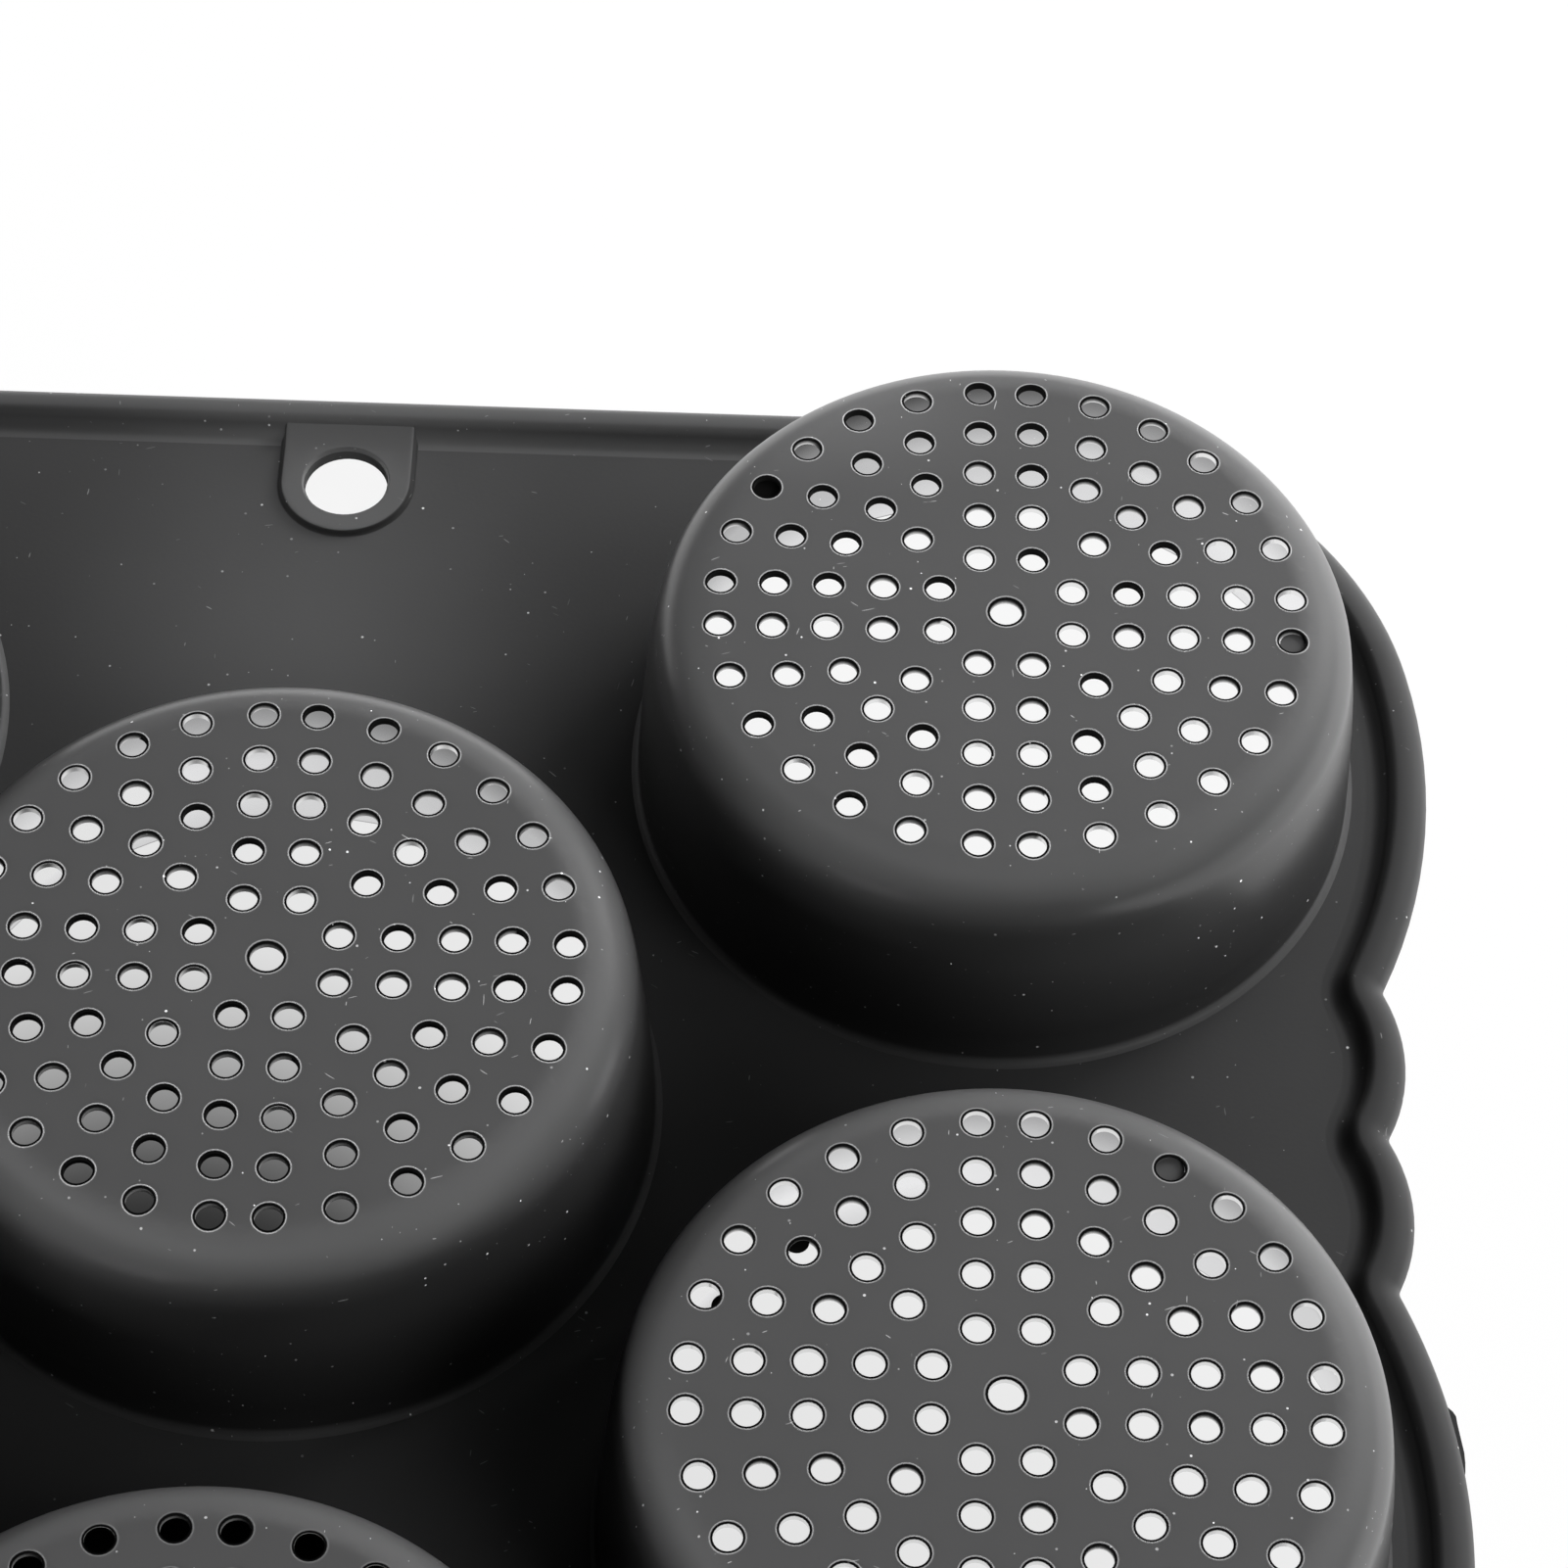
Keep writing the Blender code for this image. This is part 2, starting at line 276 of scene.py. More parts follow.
def addCircle(bm, place, radius, steps):
    bmesh.ops.create_circle(bm, segments=steps, radius=radius, matrix=Matrix.Translation(place))


def onLevel(edge, level):
    return all(abs(vert.co.z - level) < tiny for vert in edge.verts)


def fillLevel(bm, level):
    # fills what the open edges on a level enclose
    edges = [edge for edge in bm.edges if not edge.link_faces or edge.is_boundary]
    edges = [edge for edge in edges if onLevel(edge, level)]
    made = bmesh.ops.triangle_fill(
        bm, use_beauty=True, use_dissolve=False, edges=edges, normal=(0, 0, 1)
    )
    return [face for face in made["geom"] if isinstance(face, bmesh.types.BMFace)]


def thicken(bm, faces, rise):
    # makes a solid of a sheet, between it and its copy that lies higher by rise
    made = bmesh.ops.extrude_face_region(bm, geom=faces, use_keep_orig=True)["geom"]
    verts = [part for part in made if isinstance(part, bmesh.types.BMVert)]
    bmesh.ops.translate(bm, verts=verts, vec=(0, 0, rise))


def joinInto(bm, other):
    # adds another bmesh's geometry to bm
    carrier = bpy.data.meshes.new("carrier")
    other.to_mesh(carrier)
    other.free()
    bm.from_mesh(carrier)
    bpy.data.meshes.remove(carrier)


def addObject(name, data):
    thing = bpy.data.objects.new(name, data)
    bpy.context.scene.collection.objects.link(thing)
    return thing


def finishPiece(bm, name, materials, nodes):
    bmesh.ops.remove_doubles(bm, verts=bm.verts, dist=weld)
    bmesh.ops.recalc_face_normals(bm, faces=bm.faces)
    mesh = bpy.data.meshes.new(name)
    bm.to_mesh(mesh)
    bm.free()
    for material in materials:
        mesh.materials.append(material)
    mesh.shade_smooth()
    mesh.set_sharp_from_angle(angle=math.radians(mould["sharpFrom"]))
    piece = addObject(name, mesh)
    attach(piece, "root")
    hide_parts(*nodes)
    return piece


outsideSlot, insideSlot, edgeSlot = 0, 1, 2  # a cup's materials

cup = {
    "footRadius": 53.2,  # where the wall would meet the web
    "belly": ((51.6, 26.0, 4.0, 4), (52.6, 14.0, 5.0, 4)),  # wall's bends: radius, level, reach, steps
    "topRadius": 49.6,  # where the wall would meet the floor
    "wall": 1.5,
    "floor": 1.1,
    "edgeReach": 7.6,  # how far the round edge reaches along floor and wall
    "edgeSteps": 16,
    "innerEdgeReach": 6.0,
    "innerEdgeSteps": 10,
    "flare": 0.9,  # slope at the foot
    "flareBend": (0.25, 0.32, 0.2, 2),  # its bend: beyond the foot, over the web, reach, steps
    "mouthBend": (0.6, 4),  # reach and steps of the round edge at the cup's mouth
    "sides": 144,
    "floorStart": 30.0,  # the wall's line begins in the floor, at this radius
    "seamStep": 4,  # vertex of the round edge where the floor's mesh ends
    "fineFrom": 38.5,  # beyond this radius the floor's edges longer than fineEdge are split
    "fineEdge": 1.7,
    "fineRounds": 3,
    "lineWeld": 0.001,  # merges the ends of the wall's two lines
    "seamWeld": 0.004,  # merges floor and wall
    "insideSlope": -0.2,  # a face that looks down more than this counts as inside
    "insideMargin": 1.0,  # the inside's material keeps this far from the table and the floor
    "toneLevels": (3, 36),  # between these levels the painted light inside the cups holds
    "toneReach": 50,
    "insidePaintedLight": {  # painted light: how much paler a cup is inside, and the growth over toneReach in X and Y
        "right_back": (-0.08, 0.25, 0),
        "right_centre": (0.17, -0.25, 0),
        "middle_back": (0.08, -0.4, 0),
    },
}

holes = {
    "radius": 1.94,
    "centreRadius": 2.33,
    "firstRing": 10.36,
    "ringPitch": 7.77,
    "rings": 5,
    "spacing": 9.0,
    "sides": 24,
    "seed": 7,
    "wander": 0.06,  # how far a hole's centre strays
    "stretch": 0.02,
    "edge": 0.29,  # width of the dark edge round the opening, painted shade
    "edgeDrop": 0.03,
    "lip": 0.26,  # width of the pale lip round the edge, a painted highlight
    "lipRise": 0.04,
    "lipMark": 0.01,  # what stands higher over the floor is marked for the lip's painted highlight
    "lipHighlightShare": {"middle_front": 0.15, "right_centre": 0.7},  # how strong a cup's painted lip highlight is, else 1
    "collar": 0.15,  # flat ring that keeps the lip's slope out of the floor's shading
    "throatRings": (3, 9),  # depths of the throat's rings of points, in edge drops
    "paintedReflectionFrom": 8,  # below this depth a throat may get a painted reflection, in edge drops
    "paintedReflectionShare": {  # share of the throats with a painted reflection, and the growth over toneReach in X and Y
        "right_back": (0.25, 0.3, -0.3),
        "right_centre": (0.75, 0, -0.2),
        "middle_back": (0.15, -0.2, 0.1),
    },
    "otherPaintedReflection": (0.5, 0, 0),
    "halfShare": 0.45,  # share of the throats whose painted reflection is in their lower part only
    "filmDepth": 0.55,
    "filmThick": 0.1,
    "films": {  # holes that a film of silicone closes: place, the film's shift, radius, material
        "right_back": [(-35.0, 21.5, 0, 0, 1.95, edgeSlot), (41.4, -4.0, 0, 0, 1.95, outsideSlot)],
        "right_centre": [
            (21.8, 35.1, 0, 0, 1.95, outsideSlot),
            (-26.7, 20.8, -0.9, 1.3, 1.7, edgeSlot),
            (-39.3, 13.3, 2.7, -1.3, 1.9, edgeSlot),
        ],
    },
}


def holePlaces():
    # rings laid out in quarters: a pair of holes on each axis, the others evenly between
    places = [(0.0, 0.0, holes["centreRadius"])]
    for ring in range(holes["rings"]):
        radius = holes["firstRing"] + ring * holes["ringPitch"]
        pair = math.asin(holes["ringPitch"] / 2 / radius)
        free = math.pi / 2 - 2 * pair
        spaces = max(1, round(free * radius / holes["spacing"]))
        for quarter in range(4):
            for place in range(spaces + 1):
                angle = quarter * math.pi / 2 + pair + free * place / spaces
                places.append((radius * math.cos(angle), radius * math.sin(angle), holes["radius"]))
    return places


def tubeTemplate():
    # one hole: flat collar, pale lip as a painted highlight, dark edge and throat as painted shade
    top = mould["floorLevel"]
    radius = holes["radius"]
    drop = holes["edgeDrop"]
    edgeRadius = radius + holes["edge"]
    lipRadius = edgeRadius + holes["lip"]
    bm = section([
        (lipRadius + holes["collar"], top),
        (lipRadius, top),
        ((edgeRadius + lipRadius) / 2, top + holes["lipRise"]),
        (edgeRadius, top - drop / 2),
        (radius, top - drop),
        *((radius, top - drop * depth) for depth in holes["throatRings"]),
        (radius, top - cup["floor"]),
    ])
    spinRound(bm, holes["sides"])
    slack = 0.01
    for face in bm.faces:
        far = max(vert.co.xy.length for vert in face.verts)
        near = min(vert.co.xy.length for vert in face.verts)
        if far < (edgeRadius + slack) * mm and near < (radius + slack) * mm:
            face.material_index = edgeSlot
    # the throat's deeper points are marked for a painted reflection
    shine = bm.verts.layers.float.new("gloss")
    for vert in bm.verts:
        vert[shine] = 1.0 if vert.co.z < (top - holes["paintedReflectionFrom"] * drop) * mm else 0.0
    return bm


def addHoles(bm):
    rng = random.Random(holes["seed"])
    tube = tubeTemplate()
    for x, y, radius in holePlaces():
        copy = tube.copy()
        shine = copy.verts.layers.float["gloss"]
        luck = rng.random()
        for vert in copy.verts:
            vert[shine] *= 1.0 - luck
        grow = radius / holes["radius"]
        stretch = 1 + rng.uniform(-1, 1) * holes["stretch"]
        turn = Matrix.Rotation(rng.uniform(0, math.tau), 4, "Z")
        shape = turn @ Matrix.Diagonal((grow * stretch, grow / stretch, 1, 1)) @ turn.inverted()
        stray = (rng.gauss(0, holes["wander"]), rng.gauss(0, holes["wander"]))
        shape = Matrix.Translation(((x + stray[0]) * mm, (y + stray[1]) * mm, 0)) @ shape
        bmesh.ops.transform(copy, matrix=shape, verts=copy.verts)
        joinInto(bm, copy)
    tube.free()


def curveThrough(points):
    # straight-line interpolation between the points
    points = sorted(points)

    def value(at):
        if at <= points[0][0]:
            return points[0][1]
        for (start, first), (end, last) in zip(points, points[1:]):
            if start <= at <= end and end > start:
                return first + (last - first) * (at - start) / (end - start)
        return points[-1][1]

    return value


def refineFloor(bm, tubeFaces):
    # finer triangles where the floor begins to round off
    for _ in range(cup["fineRounds"]):
        long = set()
        for face in bm.faces:
            if face in tubeFaces:
                continue
            for edge in face.edges:
                middle = (edge.verts[0].co + edge.verts[1].co) / 2
                outer = middle.xy.length > cup["fineFrom"] * mm
                free = not edge.is_boundary and all(other not in tubeFaces for other in edge.link_faces)
                if outer and free and edge.calc_length() > cup["fineEdge"] * mm:
                    long.add(edge)
        if not long:
            break
        bmesh.ops.subdivide_edges(bm, edges=list(long), cuts=1)
        loose = [face for face in bm.faces if len(face.verts) > 3 and face not in tubeFaces]
        bmesh.ops.triangulate(bm, faces=loose)


def paintInside(bm, wallRadius):
    # gives the faces inside the cup their own material, the pale metal of the painted reflection
    margin = cup["insideMargin"] * mm
    for face in bm.faces:
        if face.material_index == edgeSlot:
            continue
        centre = face.calc_center_median()
        inward = face.normal.x * centre.x + face.normal.y * centre.y < 0
        inside = centre.xy.length < wallRadius(centre.z) - cup["wall"] / 2 * mm
        under = face.normal.z < cup["insideSlope"] and centre.z > margin
        below = centre.z < mould["floorLevel"] * mm - margin
        face.material_index = insideSlot if inside and (inward or under) and below else outsideSlot


def buildCup():
    top = mould["floorLevel"]
    webTop = mould["webTop"]
    upperEdge = [(cup["floorStart"], top), (cup["topRadius"], top, cup["edgeReach"], cup["edgeSteps"])]
    outer = section([*upperEdge, *cup["belly"], (cup["footRadius"], webTop)])
    level = curveThrough((vert.co.x, vert.co.z) for vert in outer.verts)
    wallRadius = curveThrough((vert.co.z, vert.co.x) for vert in outer.verts)
    seam = sorted(outer.verts, key=lambda vert: vert.co.x)[1 + cup["seamStep"]].co.copy()
    outer.free()

    bm = bmesh.new()
    addHoles(bm)
    floorLevels = (top * mm, (top - cup["floor"]) * mm)
    for height in floorLevels:
        addCircle(bm, (0, 0, height), seam.x, cup["sides"])
    tubeFaces = set(bm.faces)
    upper, lower = (fillLevel(bm, height) for height in floorLevels)
    print("cup floor:", len(tubeFaces), "lip faces,", len(upper), "and", len(lower), "in its two sides")
    refineFloor(bm, tubeFaces)

    # the flat floor follows the round edge, and the lips are marked for their painted highlight
    lip = bm.verts.layers.float.new("lip")
    for vert in bm.verts:
        height = level(vert.co.xy.length)
        vert.co.z += height - top * mm
        if vert.co.z > height + holes["lipMark"] * mm:
            vert[lip] = 1.0

    thick = cup["wall"]
    seat = cup["footRadius"] + cup["flare"]
    flareTop = (wallRadius((webTop + cup["flare"]) * mm) / mm, webTop + cup["flare"])
    flareOut, flareUp, *flareRound = cup["flareBend"]
    outer = section([*upperEdge, *cup["belly"], flareTop])
    drop = sorted(outer.verts, key=lambda vert: vert.co.x)[: 1 + cup["seamStep"]]
    bmesh.ops.delete(outer, geom=drop, context="VERTS")
    inner = section([
        flareTop,
        (cup["footRadius"] + flareOut, webTop + flareUp, *flareRound),
        (seat, webTop),
        (seat, 0.0),
        (cup["footRadius"] - thick, 0.0, *cup["mouthBend"]),
        *((radius - thick, *bend) for radius, *bend in reversed(cup["belly"])),
        (cup["topRadius"] - thick, top - cup["floor"], cup["innerEdgeReach"], cup["innerEdgeSteps"]),
        (seam.x / mm, (seam.z - cup["floor"] * mm) / mm),
    ])
    joinInto(outer, inner)
    bmesh.ops.remove_doubles(outer, verts=outer.verts, dist=cup["lineWeld"] * mm)
    spinRound(outer, cup["sides"])
    joinInto(bm, outer)
    bmesh.ops.remove_doubles(bm, verts=bm.verts, dist=cup["seamWeld"] * mm)
    bmesh.ops.recalc_face_normals(bm, faces=bm.faces)
    paintInside(bm, wallRadius)
    return bm


def evenGrey(grey):
    return [(0, grey), (skin["rampTop"], grey)]


print("materials")
# greys are (level, grey) stops; where a piece is marked, the look's added grey times the mark is
# painted light, or painted shade where it is below zero
# the cups' outside is one silicone whose greys by level are painted light and shade: palest on the
# floors at the top, darkening down the round edge, dark low on the walls, paler again at the foot; the
# marked hole lips get a painted highlight
outsideLook = {
    "greys": [
        (0, 0.055), (2.5, 0.055), (3.5, 0.018), (8, 0.016), (16, 0.022),
        (24, 0.031), (30, 0.031), (34, 0.048), (37, 0.069), (39.4, 0.102),
    ],
    "paintedLightGrey": 0.36, "roughness": 0.6, "grain": 0.25, "ior": 1.02,
    "coat": 1.0, "coatRoughness": 0.3, "coatIor": 1.6, "dust": 1.0,
}
# the cups' inside is a pale metal that reflects the glowing table under the mould, palest low on the
# walls and dark at their foot and top: a painted reflection, with painted light added per cup
insideReflectionLook = {
    "greys": [(0, 0.03), (0.4, 0.03), (0.7, 0.78), (16, 0.74), (27, 0.31), (33, 0.12), (40, 0.06)],
    "paintedLightGrey": 1.0, "roughness": 0.2, "grain": 0.1, "ior": 1.5, "metal": 1.0,
}
# the web, rim and tab are the same silicone as the cups; their different greys are painted light and
# shade
webLook = {"greys": evenGrey(0.047), "paintedLightGrey": 0.0, "roughness": 0.6, "grain": 0.25, "ior": 1.02}
rimLook = {
    "greys": evenGrey(0.038), "paintedLightGrey": 0.027, "roughness": 0.6, "grain": 0.2, "ior": 1.02,
    "coat": 0.5, "coatRoughness": 0.3, "coatIor": 1.6,
}
# the tab pad is paler, as painted light, and its marked flank darker, as painted shade
tabLook = dict(rimLook, greys=evenGrey(0.066), paintedLightGrey=-0.05)
# the holes' edge ring and throats: near black with little specular, as painted shade; marked throats
# become a pale metal, a painted reflection
edgeShadeAndReflectionLook = {
    "greys": evenGrey(0.004), "paintedLightGrey": 0.0, "roughness": 0.8, "grain": 0.1, "ior": 1.2, "shine": 0.85,
}
cupMaterials = [  # in the order of the slots
    siliconeMaterial("cupOutside", outsideLook),
    siliconeMaterial("cupInsidePaintedReflection", insideReflectionLook),
    siliconeMaterial("holeEdgeShadeAndReflection", edgeShadeAndReflectionLook),
]
webSilicone = siliconeMaterial("webSilicone", webLook)
rimSilicone = siliconeMaterial("rimSilicone", rimLook)
tabSilicone = siliconeMaterial("tabSilicone", tabLook)


def leaning(way, value, leanX, leanY):
    # a value that grows in X and Y with the way from the cup's middle
    way = way / (cup["toneReach"] * mm)
    return value + leanX * way.x + leanY * way.y


def markCup(bm, name, centre):
    # how strong its painted lip highlight and painted inside light are, and which throats get a painted
    # reflection
    lip = bm.verts.layers.float["lip"]
    for vert in bm.verts:
        vert[lip] *= holes["lipHighlightShare"].get(name, 1)
    lowest, highest = cup["toneLevels"]
    tone, *toneLean = cup["insidePaintedLight"].get(name, (0, 0, 0))
    for vert in {vert for face in bm.faces if face.material_index == insideSlot for vert in face.verts}:
        if lowest * mm < vert.co.z < highest * mm:
            vert[lip] = leaning(vert.co - centre, tone, *toneLean)
    shine = bm.verts.layers.float["gloss"]
    share, *shareLean = holes["paintedReflectionShare"].get(name, holes["otherPaintedReflection"])
    for vert in bm.verts:
        if vert[shine] > 0:
            lower = vert.co.z < (mould["floorLevel"] - cup["floor"] / 2) * mm
            foot = holes["halfShare"] if lower else 0
            luck = leaning(vert.co - centre, share + foot, *shareLean)
            vert[shine] = 1.0 if vert[shine] > 1 - luck else 0.0


def addFilms(bm, name, centre):
    # thin discs in the throats that silicone closes
    for x, y, shiftX, shiftY, radius, slot in holes["films"].get(name, []):
        place = centre + Vector((x + shiftX, y + shiftY, mould["floorLevel"] - holes["filmDepth"])) * mm
        made = bmesh.ops.create_cone(
            bm, cap_ends=True, segments=holes["sides"], radius1=radius * mm, radius2=radius * mm,
            depth=holes["filmThick"] * mm, matrix=Matrix.Translation(place),
        )
        for face in {face for vert in made["verts"] for face in vert.link_faces}:
            face.material_index = slot


print("cups")
centres = {
    name: Vector((column * mould["columnPitch"], row * mould["cupPitch"], 0)) * mm
    for name, (column, row) in cupPlaces.items()
}
template = buildCup()
for index, (name, centre) in enumerate(centres.items()):
    bm = template.copy()
    turn = Matrix.Rotation(math.pi / 2 * index, 4, "Z")  # neighbours' holes don't stray alike
    bmesh.ops.transform(bm, matrix=Matrix.Translation(centre) @ turn, verts=bm.verts)
    markCup(bm, name, centre)
    addFilms(bm, name, centre)
    words = "".join(word.capitalize() for word in name.split("_"))
    finishPiece(bm, "cup" + words, cupMaterials, ["cup_wall_" + name, "cup_floor_" + name])
template.free()

rim = {
    "foot": 8.6,  # inset of the cove's start from the outline
    "strip": 0.4,  # flat strip inside it
    "cove": (6.4, 1.7, 8),  # inset, reach and steps of the bend up from the web
    "shoulder": (5.5, 1.1, 8),  # the same of the bend below the crest
    "crestInset": 4.3,
    "crestRun": 0.3,  # the crown's curve begins this far outside the crest
    "crownPercent": 99.5,  # share of its two sides that the curve takes
    "crownSteps": 10,
    "crownDrop": 0.3,  # it ends this far under the web's top
    "rise": 2.8,
    "undercut": 0.4,
    "soleBend": (0.25, 3),  # reach and steps of the lower outer edge
    "sideLobe": 95.1,
    "smallLobe": 27.8,
    "smallDrop": 5.5,
    "smallSpacing": 25.9,
    "notch": 2.0,
    "corner": 60.0,
    "lobeFacet": 2,  # about the length of a lobe's facets
    "lobeSteps": 6,  # fewest facets of a lobe
    "notchSteps": 10,
    "endLobeSteps": 14,
    "cornerSteps": 30,
    "weld": 0.03,
    "flash": [  # a thin flake left on the outer edge: its line along Y, and its size
        (163.7, 21.6), (164.5, 20.8), (164.9, 20.1), (165.03, 18.9), (165.37, 16.7),
        (165.72, 14.5), (165.78, 12.9), (165.7, 11.4), (165.5, 10.4),
    ],
    "flashLevel": 1.2,
    "flashDepth": 1.2,
    "flashThick": 0.3,
    "paintedLightFrom": 150,  # towards the back the rim grows paler from here on, as painted light
    "paintedLightRun": 37,
}


def sweepTurn(bm, geom, centre, angle, steps):
    # sweeps a line round the centre and returns its last place, for the next sweep
    made = bmesh.ops.spin(
        bm, geom=geom, cent=(centre.x, centre.y, 0), axis=(0, 0, 1), dvec=(0, 0, 0),
        angle=angle, steps=steps, use_merge=False, use_duplicate=False,
    )
    return made["geom_last"]


def sweepGo(bm, geom, offset):
    # the same, straight on
    edges = [edge for edge in geom if isinstance(edge, bmesh.types.BMEdge)]
    if edges:
        made = bmesh.ops.extrude_edge_only(bm, edges=edges)["geom"]
    else:
        made = bmesh.ops.extrude_vert_indiv(bm, verts=geom)["verts"]
    verts = [part for part in made if isinstance(part, bmesh.types.BMVert)]
    bmesh.ops.translate(bm, verts=verts, vec=offset)
    ends = [part for part in made if not isinstance(part, bmesh.types.BMFace)]
    return ends if edges else verts


def outerMeeting(lower, lowerReach, upper, upperReach):
    # the outer one of the points at these distances from lower and upper
    between = upper - lower
    along = (between.length_squared + lowerReach**2 - upperReach**2) / (2 * between.length)
    across = math.sqrt(lowerReach**2 - along**2)
    up = between.normalized()
    return lower + up * along + Vector((up.y, -up.x)) * across


def heading(vector):
    return math.atan2(vector.y, vector.x)


def sweepOutline(bm):
    # sweeps what is in bm, drawn at the +X side's middle, along a quarter of the outline,
    # and mirrors it twice
    sideX = mould["sideReach"] - rim["sideLobe"]
    smallX = mould["sideReach"] - rim["smallDrop"] - rim["smallLobe"]
    pitch = mould["cupPitch"]
    lobes = [
        (Vector((sideX, 0)), rim["sideLobe"]),
        (Vector((smallX, pitch / 2 - rim["smallSpacing"] / 2)), rim["smallLobe"]),
        (Vector((smallX, pitch / 2 + rim["smallSpacing"] / 2)), rim["smallLobe"]),
        (Vector((sideX, pitch)), rim["sideLobe"]),
    ]
    geom = bm.verts[:] + bm.edges[:]
    start = 0.0
    for (lower, lowerRadius), (upper, upperRadius) in zip(lobes, lobes[1:]):
        notch = outerMeeting(lower, lowerRadius + rim["notch"], upper, upperRadius + rim["notch"])
        end = heading(notch - lower)
        steps = max(rim["lobeSteps"], int((end - start) * lowerRadius / rim["lobeFacet"]))
        geom = sweepTurn(bm, geom, lower * mm, end - start, steps)
        start = heading(notch - upper)
        geom = sweepTurn(bm, geom, notch * mm, start - end, rim["notchSteps"])
    last = lobes[-1][0]
    rise = mould["endReach"] - rim["corner"] - last.y
    run = math.sqrt((rim["sideLobe"] - rim["corner"]) ** 2 - rise**2)
    corner = last + Vector((run, rise))
    end = heading(corner - last)
    geom = sweepTurn(bm, geom, last * mm, end - start, rim["endLobeSteps"])
    geom = sweepTurn(bm, geom, corner * mm, math.pi / 2 - end, rim["cornerSteps"])
    sweepGo(bm, geom, (-corner.x * mm, 0, 0))
    for axis in ("X", "Y"):
        whole = bm.verts[:] + bm.edges[:] + bm.faces[:]
        bmesh.ops.mirror(bm, geom=whole, merge_dist=weld, axis=axis)
    bmesh.ops.remove_doubles(bm, verts=bm.verts, dist=weld)


print("rim")
reach = mould["sideReach"]
web = mould["webTop"]
crest = web + rim["rise"]
crownFoot = web - rim["crownDrop"]
crownStart = reach - rim["crestInset"] + rim["crestRun"]
webEdge = reach - rim["foot"] - rim["strip"]
coveInset, *coveRound = rim["cove"]
shoulderInset, *shoulderRound = rim["shoulder"]
rimLine = section([
    (webEdge, web),
    (reach - rim["foot"], web),
    (reach - coveInset, web, *coveRound),
    (reach - shoulderInset, crest, *shoulderRound),
    (crownStart, crest),
])
crown = bmesh.new()
crownCorners = [(crownStart, crest), (reach, crest), (reach, crownFoot)]
crownVerts = lineThrough(crown, [(x * mm, 0, z * mm) for x, z in crownCorners])
roundCorner(crown, crownVerts[1], rim["crownPercent"], rim["crownSteps"], "PERCENT")
joinInto(rimLine, crown)
joinInto(rimLine, section([
    (reach, crownFoot),
    (reach - rim["undercut"], 0, *rim["soleBend"]),
    (webEdge, 0),
    (webEdge, web),
]))
bmesh.ops.remove_doubles(rimLine, verts=rimLine.verts, dist=rim["weld"] * mm)
sweepOutline(rimLine)
flash = bmesh.new()
lineThrough(flash, [(x * mm, y * mm, rim["flashLevel"] * mm) for x, y in rim["flash"]])
sweepGo(flash, flash.edges[:], (-rim["flashDepth"] * mm, 0, 0))
thicken(flash, flash.faces[:], rim["flashThick"] * mm)
joinInto(rimLine, flash)
# painted light: the rim is marked paler towards the back
backPaintedLight = rimLine.verts.layers.float.new("lip")
for vert in rimLine.verts:
    vert[backPaintedLight] = min(1, max(0, (vert.co.y / mm - rim["paintedLightFrom"]) / rim["paintedLightRun"]))
rimPiece = finishPiece(rimLine, "rimBead", [rimSilicone], ["rim_bead"])
# from the low lamps its small rise would throw a shadow far over the web
rimPiece.visible_shadow = False

tab = {
    "width": 20.9,
    "rise": 0.8,
    "standing": 0.3,  # how deep the pad stands in the web
    "flat": 1.2,  # inset of the pad's flat middle
    "edgeInset": 0.35,
    "edgeBend": (0.3, 4),  # reach and steps of the bends at its edge and its foot
    "footRun": 0.05,
    "skirt": 0.9,  # the pad's thin skirt reaches this far into the web
    "skirtDrop": 0.02,
    "markBelow": 0.01,  # its flank is marked for painted shade from here under the web's top
    "markUnder": 0.03,  # to here under its own top
    "holeY": 179.35,
    "throat": 6.45,  # the hole's radius at its foot
    "eyeLine": ((7.05, 0), (6.8, 0, 0.15, 3), (6.6, 0.7)),  # radius and depth over it; reach, steps
    "eyeSides": 48,
    "turnSteps": 36,
    "end": 190.2,  # the pad runs into the rim's flank up to here
    "ramp": 1.2,  # how far its end rises up the flank
    "rampStart": 186.5,
    "rampOver": 0.05,  # points lower than this over the web don't rise
}

print("web")
webMesh = bmesh.new()
webMesh.verts.new((webEdge * mm, 0, web * mm))
sweepOutline(webMesh)
for centre in centres.values():
    seat = (cup["footRadius"] + cup["flare"]) * mm
    addCircle(webMesh, (centre.x, centre.y, web * mm), seat, cup["sides"])
addCircle(webMesh, (0, tab["holeY"] * mm, web * mm), tab["throat"] * mm, tab["eyeSides"])
thicken(webMesh, fillLevel(webMesh, web * mm), -web * mm)
finishPiece(webMesh, "webSheet", [webSilicone], ["web_sheet"])


def isNear(first, second):
    return abs(first - second) < 0.001 * mm


print("tab")
padTop = web + tab["rise"]
padFoot = web - tab["standing"]
half = tab["width"] / 2
padLine = section([
    (half - tab["flat"], padTop),
    (half - tab["edgeInset"], padTop, *tab["edgeBend"]),
    (half + tab["footRun"], web, *tab["edgeBend"]),
    (half + tab["skirt"], web - tab["skirtDrop"]),
    (half + tab["skirt"], padFoot),
    (half - tab["flat"], padFoot),
])
